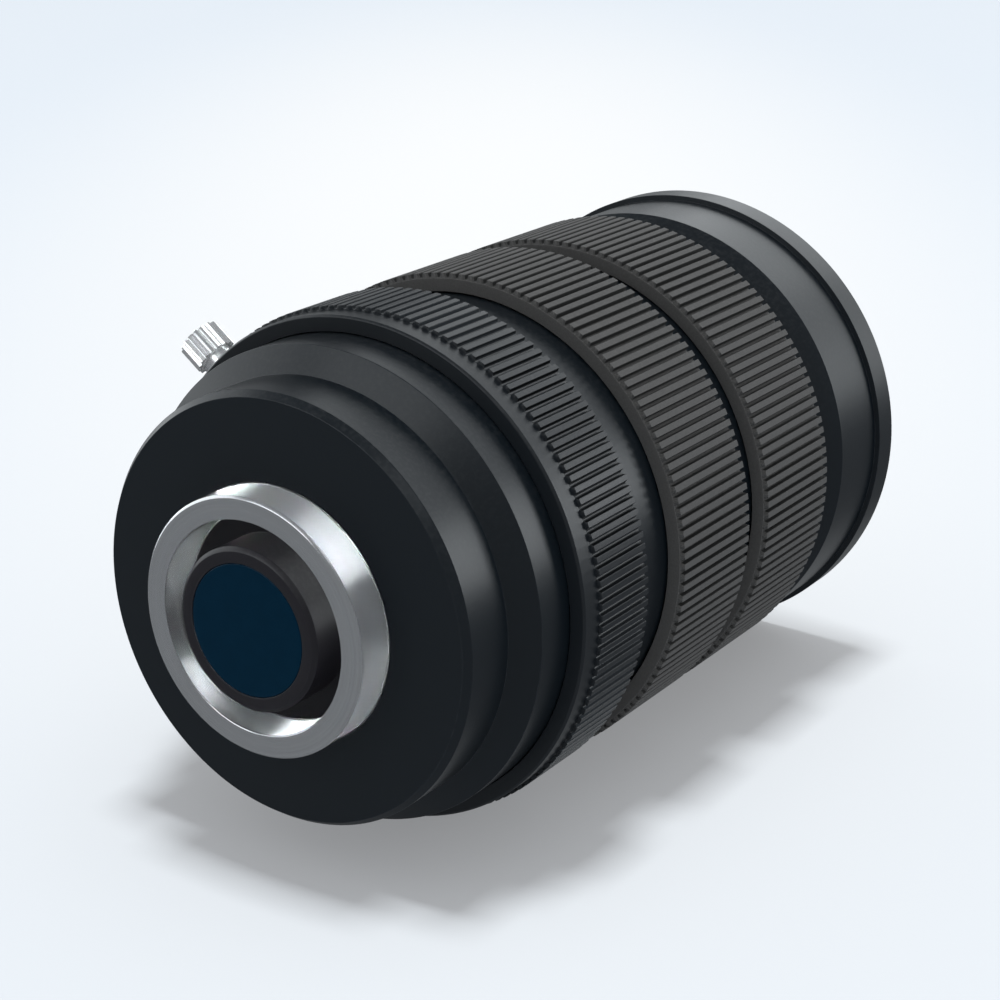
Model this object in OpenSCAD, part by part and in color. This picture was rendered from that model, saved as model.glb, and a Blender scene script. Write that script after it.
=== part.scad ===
// Manual zoom lens with a one-inch camera thread, lying along Y.
// The origin is on the optical axis, in the plane of the seat that meets the camera.
// The thread points to -Y and the front glass to +Y. Each module is drawn along Z and then laid over.

/* [Camera thread] */
// Radius over the camera thread
thread_r = 12.7; // [12.2:0.05:13.2]
// Length of the thread behind the seat
thread_len = 4.1; // [3.6:0.1:4.6]
// Chamfer on the thread's free end
thread_chamfer = 0.25; // [0.1:0.05:0.5]
// Wall of the thread ring
mount_ring_wall = 2.3; // [1.9:0.05:2.6]
// Width of the hidden flange outside the thread
mount_flange_w = 2.8; // [2.6:0.1:3.4]
// Thickness of the hidden flange
mount_flange_t = 2.0; // [1.5:0.1:2.4]
// Wall of the sleeve that holds the relay cell
mount_sleeve_wall = 2.0; // [1.5:0.1:2.3]
// Length of that sleeve
mount_sleeve_len = 5.0; // [4:0.1:5.6]
// Number of screws in the flange
mount_screw_count = 4; // [3:1:8]

/* [Rear housing] */
// Thickness of the seat disc
seat_t = 2.4; // [2:0.1:2.8]
// Chamfer across the seat disc's edge
seat_edge_w = 0.56; // [0.2:0.02:1]
// Chamfer along the seat disc's edge
seat_edge_len = 0.75; // [0.3:0.05:1.2]
// Radius of the neck
neck_r = 21.3; // [20.6:0.1:22]
// Length of the neck from the seat
neck_len = 6.3; // [5:0.1:7.5]
// Wall of the neck
neck_wall = 1.9; // [1.2:0.1:2.5]
// Length of the cone from the neck to the barrel
flare_len = 1.75; // [1:0.05:3]
// Length of bare housing from the cone to the iris ring
collar_len = 4.5; // [3:0.1:6]
// How far the housing reaches under the iris ring
housing_lap = 0.5; // [0.3:0.1:1]
// Length of the spigot that enters the barrel
spigot_len = 2.2; // [1.8:0.1:3]
// Wall of the spigot
spigot_wall = 1.55; // [1.2:0.05:2]

/* [Barrel] */
// Outer radius of the fixed barrel
barrel_r = 23.82; // [23.5:0.02:24.4]
// Wall of the barrel's rear chamber
chamber_wall = 1.92; // [1.5:0.02:2.2]
// Wall of the barrel forward of the chamber
barrel_wall = 3.82; // [3.4:0.02:4.2]
// Wall of the nose inside the front barrel
nose_wall = 1.3; // [1.1:0.05:1.5]
// Length of bare barrel between the iris ring and the zoom ring
iris_gap_len = 6.95; // [5:0.05:9]
// Length of bare barrel between the zoom ring and the focus ring
zoom_gap_len = 4.1; // [3:0.05:6]

/* [Rings and grips] */
// Thickness of the grips over their metal rings, which sets the radius of all three rings
grip_t = 1.0; // [0.8:0.05:1.6]
// Number of ribs round each ring
rib_count = 144; // [96:4:180]
// Depth of the ribs on the two grips
grip_rib_depth = 0.55; // [0.3:0.05:0.7]
// Depth of the ribs on the iris ring
iris_rib_depth = 0.4; // [0.2:0.05:0.6]
// Share of the pitch that a rib's crest takes
crest_share = 0.46; // [0.3:0.02:0.6]
// Share of the pitch that a grip rib's foot takes
grip_foot_share = 0.7; // [0.62:0.02:0.85]
// Share of the pitch that an iris rib's foot takes
iris_foot_share = 0.58; // [0.5:0.02:0.8]
// Wall of the metal ring under each grip
ring_wall = 1.0; // [0.9:0.05:1.1]
// Thickness of the lip at a grip's rear end
grip_lip_t = 0.4; // [0.3:0.05:0.6]
// Length of the iris ring
iris_ring_len = 10.7; // [10.5:0.1:13]
// Length of the plain border at the iris ring's rear
iris_border_len = 2.45; // [1.5:0.05:3.5]
// Length of the zoom grip
zoom_len = 13.3; // [12:0.1:16]

/* [Iris] */
// How far the iris ring turns, in degrees
iris_turn = 45; // [35:1:45]
// How far each blade turns with it, in degrees
blade_turn = 27; // [20:1:27]
// Inner radius of an open blade
blade_in_r = 8.0; // [7.6:0.1:8.2]
// Width of a blade
blade_w = 4.1; // [3.4:0.1:4.2]
// Distance from an open blade's outer edge to its pivot
blade_pivot_gap = 1.5; // [1.2:0.1:1.9]
// Angle that a blade spans, in degrees
blade_arc = 112; // [90:1:120]
// Distance from a blade's pivot to its drive pin
blade_tail = 3.2; // [2.8:0.1:3.4]
// Radius of the blade pins
blade_pin_r = 0.5; // [0.4:0.05:0.55]
// Thickness of a blade
blade_t = 0.2; // [0.15:0.01:0.25]
// Thickness of the plate behind the blades
iris_plate_t = 1.1; // [0.9:0.1:1.4]
// Wall of the iris cup
iris_cup_wall = 1.0; // [0.8:0.1:1.4]
// Thickness of the rotor that drives the blades
rotor_t = 2.0; // [1.9:0.1:2.4]
// Thickness of the ring that closes the iris cup
iris_cover_t = 0.6; // [0.5:0.1:0.8]
// Radius of the iris drive screw
iris_screw_r = 0.95; // [0.8:0.05:1]

/* [Lock screw] */
// Distance from the iris ring's rear edge to the lock screw
lock_offset = 5.25; // [4.6:0.05:5.6]
// Clock angle of the lock screw, seen from behind, in degrees from the top
lock_clock = -52.7; // [-70:0.1:-40]
// Radius of the lock screw's shank
lock_shank_r = 0.9; // [0.7:0.05:1.1]
// Radius of the knurled head
lock_head_r = 1.95; // [1.6:0.05:2.4]
// Length of the knurled head
lock_head_len = 3.0; // [2.4:0.1:4]
// Radius of the plain collar under the head
lock_collar_r = 1.7; // [1.3:0.05:2]
// Length of that collar
lock_collar_len = 0.9; // [0.6:0.1:1.2]
// Gap from the ribs to the collar
lock_standoff = 1.1; // [0.8:0.1:2]
// Number of flutes on the knurled head
lock_flutes = 16; // [12:1:24]
// Depth of a flute
lock_flute_depth = 0.2; // [0.1:0.02:0.3]
// Length of the soft tip
lock_pad_len = 0.64; // [0.5:0.02:0.8]

/* [Zoom] */
// How far the zoom ring turns, in degrees
zoom_turn = 75; // [60:1:80]
// Travel of the variator
variator_travel = 14; // [10:0.5:14]
// Travel of the compensator
compensator_travel = 3; // [2:0.1:3.4]
// Wall of the guide tube
guide_wall = 1.6; // [1.4:0.05:1.65]
// Wall of the cam tube
cam_wall = 1.72; // [1.5:0.02:1.8]
// Air between the cam tube and the barrel
cam_air = 0.6; // [0.4:0.05:0.8]
// Thickness of the guide tube's flange
guide_flange_t = 2.6; // [2:0.1:2.7]
// Thickness of the guide tube's rear wall
guide_stop_t = 0.8; // [0.6:0.1:1]
// Radius of the light stop in that wall
guide_stop_r = 10.5; // [9:0.1:11]
// Radius of the cam pins
cam_pin_r = 1.2; // [1:0.05:1.3]
// Solid land between the drive screws and the cam slots
cam_land = 1.0; // [0.8:0.1:1.4]
// Solid length of cam tube past its last slot
cam_end_len = 2.4; // [1.8:0.1:2.8]
// Length of the ring that keeps the cam tube on
cam_keeper_len = 1.3; // [1:0.1:1.6]
// Distance from the zoom grip's rear edge to the drive screws
zoom_screw_offset = 3.0; // [2.6:0.1:3.6]
// Radius of the zoom drive screws
zoom_screw_r = 1.15; // [0.9:0.05:1.2]
// Length of the compensator cell
compensator_len = 5; // [4.4:0.1:5]
// Wall of the variator cell
variator_cell_wall = 3.32; // [2.9:0.02:4]
// Wall of the compensator cell
compensator_cell_wall = 5.32; // [4.4:0.02:6]

/* [Focus] */
// How far the focus ring turns, in degrees
focus_turn = 90; // [75:1:95]
// Travel of the front barrel
focus_travel = 4.5; // [3.5:0.1:4.8]
// Length of barrel that carries the focus ring
focus_bearing_len = 3.6; // [3.2:0.1:3.8]
// Gap behind the front barrel when it is fully in
focus_stop_gap = 0.8; // [0.5:0.1:1]
// Distance from the front barrel's rear end to its pins
focus_pin_offset = 2.2; // [1.8:0.1:2.4]
// Solid land of the focus ring in front of its slots
focus_land = 1.4; // [1:0.1:2.4]
// Radius of the focus pins
focus_pin_r = 1.1; // [0.9:0.05:1.15]
// Radius of the focus stop screws
focus_screw_r = 0.8; // [0.6:0.05:0.9]
// Distance from the focus grip's rear edge to the stop screws
focus_screw_offset = 2.0; // [1.9:0.05:2.2]
// Depth of the stop groove in the barrel
focus_groove_depth = 0.8; // [0.5:0.1:1.2]

/* [Front barrel] */
// Length of bare front barrel from the focus ring to its cone
front_neck_len = 2.6; // [2:0.1:4]
// Length of the cone up to the bell
bell_flare_len = 2.5; // [1.5:0.1:3.5]
// Length of the bell
bell_len = 8.35; // [8:0.05:10]
// Wall of the bell round the front cell
bell_wall = 2.7; // [2.2:0.05:3]
// Step from the front rim down to the bell
rim_step = 0.6; // [0.3:0.05:0.9]
// How much smaller the rim's radius is than the grips'
rim_inset = 0.05; // [0.02:0.01:0.3]
// Length of the front rim
rim_len = 3.45; // [2.5:0.05:4.2]
// Wall of the front rim round the filter thread
rim_wall = 1.35; // [1.2:0.05:1.5]
// Length of the filter thread in front of the trim ring
filter_len = 4.0; // [3.4:0.1:4.4]
// Thickness of the blank trim ring
trim_t = 0.8; // [0.6:0.1:1]

/* [Front glass] */
// Wall of the front cell round the front element
front_cell_wall = 1.5; // [1.3:0.05:2]
// Step from the front element's radius to the cemented pair's
pair_step = 1.6; // [1.2:0.1:2.4]
// Thickness of the front cell's rear lip
front_lip_t = 1.0; // [0.8:0.1:1.2]
// Length of the seat for the cemented pair
pair_seat_len = 4.2; // [4:0.1:4.6]
// Thickness of the spacer behind the front element
front_spacer_t = 0.8; // [0.6:0.1:1]
// Edge thickness of the front element
front_edge_t = 2.2; // [1.8:0.1:2.3]
// Thickness of the ring that keeps the front element in
front_keeper_t = 1.5; // [1.2:0.1:1.8]
// Surface radius of the front element's face
front_face_curve = 100; // [95:1:160]
// Surface radius of the cemented pair's joint
pair_curve = 90; // [80:1:120]

/* [Rear glass] */
// Step from the relay cell's body down to its rear end
relay_nose_step = 2.35; // [2:0.05:2.8]
// Wall of that rear end round the rear element
relay_nose_wall = 1.5; // [1.2:0.05:1.7]
// How far the relay cell stands out past the thread
relay_proud = 0.56; // [0.2:0.02:1]
// Wall of the relay cell round the relay pair
relay_pair_wall = 2.45; // [2.3:0.05:2.7]
// Wall of the relay cell round the front relay element
relay_front_wall = 1.45; // [1.3:0.05:1.7]
// Edge thickness of the rear element
rear_edge_t = 2.5; // [2:0.1:2.6]
// Surface radius of the rear element's inner face
rear_curve = 20; // [15:1:40]
// Surface radius of the relay pair's rear face
relay_rear_curve = 16; // [14:1:22]
// Surface radius of the relay pair's cemented joint
relay_cement_curve = 14; // [12:1:20]
// Surface radius of the front relay element's faces
relay_front_curve = 22; // [18:1:40]
// Radius of the relay set screws
relay_screw_r = 0.8; // [0.6:0.05:0.9]

/* [Fits] */
// Radial clearance where one piece turns or slides on another
run_gap = 0.08; // [0.04:0.01:0.1]
// Radial clearance of a fixed seat
seat_gap = 0.05; // [0.02:0.01:0.08]
// Radial clearance round a glass
glass_gap = 0.02; // [0.01:0.01:0.04]
// Clearance on each side of a pin in its slot
pin_gap = 0.1; // [0.06:0.01:0.14]
// Axial clearance between stacked moving pieces
layer_gap = 0.1; // [0.06:0.01:0.12]

/* [Hidden] */
$fn = 180;

// Places along the optical axis, from the seat forwards
iris_z = neck_len + flare_len + collar_len;
zoom_z = iris_z + iris_ring_len + iris_gap_len;
focus_z = zoom_z + zoom_len + zoom_gap_len;
focus_len = focus_bearing_len + focus_stop_gap + focus_pin_offset + focus_travel
  + focus_pin_r + pin_gap + focus_land;
front_neck_z = focus_z + focus_len;
bell_flare_z = front_neck_z + front_neck_len;
bell_z = bell_flare_z + bell_flare_len;
rim_z = bell_z + bell_len;
front_z = rim_z + rim_len;

// Barrel
split_z = iris_z + housing_lap;
chamber_r = barrel_r - chamber_wall;
barrel_bore_r = barrel_r - barrel_wall;
nose_r = barrel_bore_r + nose_wall;
ring_bore_r = barrel_r + run_gap;
ring_out_r = ring_bore_r + ring_wall;
grip_r = ring_out_r + grip_t;
spigot_r = chamber_r - seat_gap;
spigot_bore_r = spigot_r - spigot_wall;

// Iris stack
iris_cup_z = split_z + spigot_len;
blade_pitch = blade_t + layer_gap;
blade_count = 6;
blade_step = 360 / blade_count;
blade_out_r = blade_in_r + blade_w;
blade_pivot_r = blade_out_r + blade_pivot_gap;
blade_tab_w = blade_pin_r + 0.45;
blades_z = iris_cup_z + iris_plate_t + layer_gap;
rotor_z = blades_z + blade_count * blade_pitch;
iris_drive_z = rotor_z + rotor_t / 2;
iris_cover_z = rotor_z + rotor_t + layer_gap;
iris_stop_r = blade_in_r + 0.4;
rotor_bore_r = blade_in_r + 1.6;
iris_cup_bore_r = spigot_r - iris_cup_wall;
rotor_r = iris_cup_bore_r - run_gap;
iris_drive_angle = 110;
rotor_hole_depth = 3.2;

// Guide tube, cam tube and the two zoom cells
guide_z = iris_cover_z + iris_cover_t;
guide_seat_z = guide_z + guide_flange_t;
cam_out_r = barrel_bore_r - cam_air;
cam_bore_r = cam_out_r - cam_wall;
guide_out_r = cam_bore_r - run_gap;
guide_bore_r = guide_out_r - guide_wall;
cell_r = guide_bore_r - run_gap;
variator_glass_r = cell_r - variator_cell_wall;
compensator_glass_r = cell_r - compensator_cell_wall;
zoom_drive_z = zoom_z + zoom_screw_offset;
cam_reach = zoom_screw_r + cam_land + cam_pin_r + pin_gap;
compensator_tele_z = zoom_drive_z - cam_reach;
compensator_z = compensator_tele_z - compensator_travel;
variator_tele_z = zoom_drive_z + cam_reach;
variator_z = variator_tele_z + variator_travel;
cam_z = guide_seat_z + layer_gap;
cam_end_z = variator_z + cam_pin_r + cam_end_len;
keeper_z = cam_end_z + layer_gap;
guide_end_z = keeper_z + cam_keeper_len;
cam_pin_end_r = cam_out_r - 0.2;
cam_pin_root_r = cell_r - 1.5;
cam_pin_shank_r = cam_pin_r - 0.5;
cell_lip_t = 1.0;
cell_lip_w = 1.0;
zoom_keeper_t = 1.1;
variator_rear_curve = 60;
variator_front_curve = 120;
variator_thin_t = 0.8;
variator_front_t = 0.86;
variator_rear_sag = sag(variator_glass_r, variator_rear_curve);
variator_front_sag = sag(variator_glass_r, variator_front_curve);
variator_len = cell_lip_t + 3 * seat_gap + variator_thin_t + variator_rear_sag
  + variator_front_t + variator_front_sag + zoom_keeper_t;
variator_rear_z = variator_z - variator_len / 2 + cell_lip_t;
compensator_rear_z = compensator_z - compensator_len / 2 + cell_lip_t;
variator_front_lens_z = variator_rear_z + 2 * seat_gap + variator_thin_t + variator_rear_sag;
compensator_curve = 55;
compensator_edge_t = 1.6;
follower_angle = -90;
zoom_screw_angle = -30;
slot_relief = 0.06;

// Focus
barrel_step_z = focus_z + focus_bearing_len;
skirt_z = barrel_step_z + focus_stop_gap;
skirt_bore_r = nose_r + run_gap;
focus_pin_z = skirt_z + focus_pin_offset;
nose_land = 1.0;
nose_end_z = focus_pin_z + focus_travel + focus_pin_r + nose_land;
focus_pin_angle = -70;
focus_screw_angle = 20;
focus_screw_z = focus_z + focus_screw_offset;
focus_groove_r = barrel_r - focus_groove_depth;
focus_screw_tip_r = focus_groove_r + 0.15;

// Front barrel and front cell, from the rim back to the cell's seat
rim_r = grip_r - rim_inset;
bell_r = rim_r - rim_step;
filter_r = rim_r - rim_wall;
trim_step = 0.5;
trim_z = front_z - filter_len - trim_t;
trim_r = filter_r - trim_step;
front_bore_r = bell_r - bell_wall;
front_cell_r = front_bore_r - seat_gap;
front_glass_r = front_cell_r - front_cell_wall;
pair_glass_r = front_glass_r - pair_step;
front_keeper_w = 0.7;
front_keeper_r = front_glass_r - front_keeper_w;
front_cell_end_z = trim_z - seat_gap;
front_keeper_z = front_cell_end_z - front_keeper_t;
front_sag = sag(front_glass_r - glass_gap, front_face_curve);
outer_vertex_z = front_keeper_z - seat_gap + sag(front_keeper_r, front_face_curve);
outer_edge_z = outer_vertex_z - front_sag;
outer_glass_z = outer_edge_z - front_edge_t;
spacer_z = outer_glass_z - front_spacer_t;
pair_z = spacer_z - pair_seat_len;
cell_seat_z = pair_z - front_lip_t;
pair_r = pair_glass_r - glass_gap;
pair_thin_t = 0.8;
pair_rear_z = pair_z + glass_gap;
pair_cement_z = pair_rear_z + pair_thin_t;
pair_lip_w = 0.8;
spacer_lip_w = 0.6;

// Relay
thread_relief = 0.3;
thread_relief_z = 0.1;
mount_bore_r = thread_r - mount_ring_wall;
relay_rear_z = -thread_len - relay_proud;
mount_flange_r = thread_r + mount_flange_w;
mount_flange_z = seat_t;
mount_sleeve_z = mount_flange_z + mount_flange_t;
mount_sleeve_end_z = mount_sleeve_z + mount_sleeve_len;
mount_sleeve_r = mount_bore_r + mount_sleeve_wall;
mount_screw_ring_r = thread_r + mount_flange_w / 2;
mount_screw_r = 0.7;
mount_screw_head_r = 1.2;
mount_screw_head_t = 0.8;
mount_screw_depth = 1.8;
mount_screw_socket_r = 0.6;
relay_body_r = mount_bore_r - seat_gap;
relay_nose_r = relay_body_r - relay_nose_step;
rear_glass_r = relay_nose_r - relay_nose_wall;
relay_pair_r = relay_body_r - relay_pair_wall;
relay_front_r = relay_body_r - relay_front_wall;
relay_nose_chamfer = 0.35;
rear_lip_z = relay_rear_z + rear_edge_t + 0.26;
rear_lip_w = 0.6;
relay_screw_angle = 30;
relay_lip_w = 1.3;
relay_lip_r = relay_pair_r - relay_lip_w;
relay_seat_z = 1.2;
relay_crown_t = 5.8;
relay_flint_t = 0.53;
relay_spacer_t = 2.0;
relay_spacer_w = 1.3;
relay_front_t = 5.1;
relay_keeper_w = 0.7;
relay_keeper_t = 1.2;
relay_glass_r = relay_pair_r - glass_gap;
relay_crown_z = relay_seat_z + seat_gap - sag(relay_lip_r, relay_rear_curve);
relay_cement_z = relay_crown_z + relay_crown_t;
relay_flint_z = relay_cement_z + glass_gap + relay_flint_t;
relay_spacer_z = relay_flint_z + seat_gap;
relay_spacer_r = relay_front_r - relay_spacer_w;
relay_front_z = relay_spacer_z + relay_spacer_t + seat_gap - sag(relay_spacer_r, relay_front_curve);
relay_front_end_z = relay_front_z + relay_front_t;
relay_keeper_r = relay_front_r - relay_keeper_w;
relay_keeper_z = relay_front_end_z - sag(relay_keeper_r, relay_front_curve) + 2 * seat_gap;
relay_end_z = relay_keeper_z + relay_keeper_t + 2 * seat_gap;
relay_screw_z = mount_sleeve_z + mount_sleeve_len * 0.6;
housing_screw_r = 0.7;
housing_screw_z = split_z + spigot_len / 2;
guide_screw_r = 0.8;
guide_screw_z = guide_z + guide_flange_t / 2;

// Lock screw, along its own axis from the optical axis outwards
lock_z = iris_z + lock_offset;
lock_angle = lock_clock - 90;
lock_pad_r0 = barrel_r + 0.04;
lock_pad_r1 = lock_pad_r0 + lock_pad_len;
lock_collar_r0 = grip_r + lock_standoff;
lock_head_r0 = lock_collar_r0 + lock_collar_len;
lock_head_r1 = lock_head_r0 + lock_head_len;
lock_head_chamfer = 0.25;

// Depth of a spherical cap of surface radius c at radius r
function sag(r, c) = c - sqrt(c * c - r * r);

// Points on an arc about the axis
function arc_points(r, a0, a1, n = 24) =
  [for (i = [0:n]) let (a = a0 + (a1 - a0) * i / n) r * [cos(a), sin(a)]];

// Direction of a path at one of its points
function heading(p, i) =
  let (a = p[max(i - 1, 0)], b = p[min(i + 1, len(p) - 1)])
  atan2(b[1] - a[1], b[0] - a[0]);

// Outline of a strip of half width w along a path, with round ends
function strip_outline(p, w) =
  let (n = len(p) - 1, h0 = heading(p, 0), h1 = heading(p, n))
  concat(
    [for (i = [0:n]) p[i] + w * [sin(heading(p, i)), -cos(heading(p, i))]],
    [for (a = [h1 - 70:20:h1 + 70]) p[n] + w * [cos(a), sin(a)]],
    [for (i = [n:-1:0]) p[i] - w * [sin(heading(p, i)), -cos(heading(p, i))]],
    [for (a = [h0 + 110:20:h0 + 250]) p[0] + w * [cos(a), sin(a)]]);

// Place of the first blade's drive pin, seen from the rotor, at a share of its turn
function blade_pin(share) =
  let (b = blade_turn * share, t = -iris_turn * share)
  let (x = blade_pivot_r + blade_tail * sin(b), y = -blade_tail * cos(b))
  [x * cos(t) - y * sin(t), x * sin(t) + y * cos(t)];

// Outline of a ribbed ring
function rib_outline(root, crest, foot_share) =
  [for (i = [0:rib_count - 1])
    let (pitch = 360 / rib_count, a = i * pitch)
    let (foot = pitch * foot_share / 2, top = pitch * crest_share / 2)
    for (q = [[root, -foot], [crest, -top], [crest, top], [root, foot]])
      q[0] * [cos(a + q[1]), sin(a + q[1])]];

// Lays what is drawn along Z onto the optical axis
module lens_axis() {
  rotate([-90, 0, 0]) children();
}

// A turned piece from its profile of [radius, place] points
module turned(profile) {
  rotate_extrude() polygon(profile);
}

module tube(z0, z1, bore, outer) {
  turned([[bore, z0], [outer, z0], [outer, z1], [bore, z1]]);
}

// Stands its children on the optical axis, pointing outwards at an angle
module radial(angle, z) {
  rotate([0, 0, angle]) translate([0, 0, z]) rotate([0, 90, 0]) children();
}

module rod(r, from, to) {
  translate([0, 0, from]) cylinder(h = to - from, r = r, $fn = 32);
}

module radial_rods(count, first, z, r, from, to) {
  for (i = [0:count - 1]) radial(first + i * 360 / count, z) rod(r, from, to);
}

// Cutter for a slot round the barrel
module arc_slot(z, r0, r1, half, a0, a1) {
  rotate([0, 0, a0]) rotate_extrude(angle = a1 - a0)
    translate([r0, z - half]) square([r1 - r0, 2 * half]);
  radial(a0, z) rod(half + slot_relief, r0, r1);
  radial(a1, z) rod(half + slot_relief, r0, r1);
}

// Cutter for a slot along the barrel
module straight_slot(angle, z0, z1, r0, r1, half) {
  rotate([0, 0, angle]) translate([r0, -half, z0]) cube([r1 - r0, 2 * half, z1 - z0]);
  radial(angle, z0) rod(half + slot_relief, r0, r1);
  radial(angle, z1) rod(half + slot_relief, r0, r1);
}

// Cutter for a slot that goes back round by a turn and moves steadily along at the same time
module helix_slot(a0, turn, z0, z1, r0, r1, half) {
  steps = ceil(turn / 5);
  slope = atan((z1 - z0) / (turn * PI / 180 * r0));
  side = half * sin(slope) / r0 * 180 / PI;
  rise = half * cos(slope);
  points = [for (i = [0:steps])
    let (a = a0 - turn * i / steps, z = z0 + (z1 - z0) * i / steps)
    for (q = [[r0, -1], [r1, -1], [r1, 1], [r0, 1]])
      [q[0] * cos(a + q[1] * side), q[0] * sin(a + q[1] * side), z + q[1] * rise]];
  sides = [for (i = [0:steps - 1], j = [0:3])
    let (k = (j + 1) % 4, m = 4 * i)
    [m + j, m + 4 + j, m + 4 + k, m + k]];
  last = 4 * steps;
  polyhedron(points, concat([[0, 1, 2, 3]], sides, [[last + 3, last + 2, last + 1, last]]));
  radial(a0, z0) rod(half + slot_relief, r0, r1);
  radial(a0 - turn, z1) rod(half + slot_relief, r0, r1);
}

// Half of a lens blank's limit: a ball for a domed face, or plain stock for any other
module face_stock(curve, vertex, side, r) {
  if (curve > 0) translate([0, 0, vertex - side * curve]) sphere(r = curve, $fn = 180);
  else translate([0, 0, vertex - (side > 0 ? 4 * r : 0) - (side < 0 ? 2 * r : -2 * r)])
    cylinder(h = 4 * r, r = 2 * r);
}

// A lens from its two vertices. A positive curve is a domed face, a negative one is hollow, 0 is flat
module lens(r, rear, front, rear_curve, front_curve) {
  low = rear_curve < 0 ? rear - sag(r, -rear_curve) : rear;
  high = front_curve < 0 ? front + sag(r, -front_curve) : front;
  difference() {
    intersection() {
      translate([0, 0, low]) cylinder(h = high - low, r = r);
      face_stock(rear_curve, rear, -1, r);
      face_stock(front_curve, front, 1, r);
    }
    if (rear_curve < 0) translate([0, 0, rear + rear_curve]) sphere(r = -rear_curve, $fn = 180);
    if (front_curve < 0) translate([0, 0, front - front_curve]) sphere(r = -front_curve, $fn = 180);
  }
}

module c_mount_ring() {
  color("silver") lens_axis() difference() {
    turned([[mount_bore_r, -thread_len], [thread_r - thread_chamfer, -thread_len],
      [thread_r, -thread_len + thread_chamfer], [thread_r, thread_relief_z],
      [thread_r - thread_relief, thread_relief_z + 0.2],
      [thread_r - thread_relief, thread_relief_z + 0.6],
      [thread_r, thread_relief_z + 0.8], [thread_r, mount_flange_z],
      [mount_flange_r, mount_flange_z], [mount_flange_r, mount_sleeve_z],
      [mount_sleeve_r, mount_sleeve_z], [mount_sleeve_r, mount_sleeve_end_z],
      [mount_bore_r, mount_sleeve_end_z]]);
    mount_screw_holes(mount_sleeve_z + 1);
    radial_rods(3, relay_screw_angle, relay_screw_z, relay_screw_r,
      mount_bore_r - 1, mount_sleeve_r + 1);
  }
}

module mount_screw_holes(top) {
  for (i = [0:mount_screw_count - 1]) rotate([0, 0, (i + 0.5) * 360 / mount_screw_count])
    translate([mount_screw_ring_r, 0, 0]) rod(mount_screw_r, seat_t - mount_screw_depth, top);
}

module mount_screws() {
  color("dimgray") lens_axis() {
    mount_screw_holes(mount_sleeve_z);
    for (i = [0:mount_screw_count - 1]) rotate([0, 0, (i + 0.5) * 360 / mount_screw_count])
      translate([mount_screw_ring_r, 0, 0]) difference() {
        rod(mount_screw_head_r, mount_sleeve_z, mount_sleeve_z + mount_screw_head_t);
        translate([0, 0, mount_sleeve_z + mount_screw_head_t / 2])
          cylinder(h = mount_screw_head_t, r = mount_screw_socket_r, $fn = 6);
      }
  }
}

module rear_housing() {
  bore = thread_r + seat_gap;
  inner = neck_r - neck_wall;
  color([0.1, 0.11, 0.13]) lens_axis() difference() {
    turned([[bore, 0], [neck_r - seat_edge_w, 0], [neck_r, seat_edge_len], [neck_r, neck_len],
      [barrel_r, neck_len + flare_len], [barrel_r, split_z], [spigot_r, split_z],
      [spigot_r, iris_cup_z], [spigot_bore_r, iris_cup_z], [spigot_bore_r, neck_len + flare_len],
      [inner, neck_len], [inner, seat_t], [bore, seat_t]]);
    mount_screw_holes(seat_t + 1);
    radial_rods(3, 0, housing_screw_z, housing_screw_r, spigot_bore_r - 1, barrel_r + 1);
  }
}

module relay_cell() {
  color([0.13, 0.11, 0.13]) lens_axis() turned([[rear_glass_r, relay_rear_z],
    [relay_nose_r - relay_nose_chamfer, relay_rear_z],
    [relay_nose_r, relay_rear_z + relay_nose_chamfer],
    [relay_nose_r, 0], [relay_body_r, 0], [relay_body_r, relay_end_z],
    [relay_front_r, relay_end_z], [relay_front_r, relay_spacer_z],
    [relay_pair_r, relay_spacer_z], [relay_pair_r, relay_seat_z], [relay_lip_r, relay_seat_z],
    [relay_lip_r, rear_lip_z + rear_lip_w], [rear_glass_r - rear_lip_w, rear_lip_z + rear_lip_w],
    [rear_glass_r - rear_lip_w, rear_lip_z], [rear_glass_r, rear_lip_z]]);
}

module relay_set_screws() {
  color("dimgray") lens_axis() difference() {
    radial_rods(3, relay_screw_angle, relay_screw_z, relay_screw_r,
      relay_body_r + glass_gap, mount_sleeve_r - 0.1);
    for (i = [0:2]) radial(relay_screw_angle + i * 120, relay_screw_z)
      translate([0, 0, mount_sleeve_r - 0.9]) cylinder(h = 1, r = relay_screw_r / 2, $fn = 6);
  }
}

module rear_element() {
  r = rear_glass_r - glass_gap;
  rear = relay_rear_z + glass_gap;
  front = relay_rear_z + rear_edge_t + sag(r, rear_curve);
  color([0.05, 0.18, 0.3, 0.9]) lens_axis() lens(r, rear, front, 0, rear_curve);
}

module relay_crown() {
  color([0.5, 0.6, 0.7, 0.5]) lens_axis()
    lens(relay_glass_r, relay_crown_z, relay_cement_z, relay_rear_curve, relay_cement_curve);
}

module relay_flint() {
  color([0.5, 0.6, 0.7, 0.5]) lens_axis()
    lens(relay_glass_r, relay_cement_z + glass_gap, relay_flint_z, -relay_cement_curve, 0);
}

module relay_spacer() {
  color([0.12, 0.12, 0.13]) lens_axis()
    tube(relay_spacer_z, relay_spacer_z + relay_spacer_t, relay_spacer_r, relay_front_r - glass_gap);
}

module relay_front_element() {
  color([0.5, 0.6, 0.7, 0.5]) lens_axis()
    lens(relay_front_r - glass_gap, relay_front_z, relay_front_end_z,
      relay_front_curve, relay_front_curve);
}

module relay_retaining_ring() {
  color([0.12, 0.12, 0.13]) lens_axis()
    keeper(relay_keeper_z, relay_keeper_t, relay_keeper_r, relay_front_r - glass_gap);
}

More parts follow.
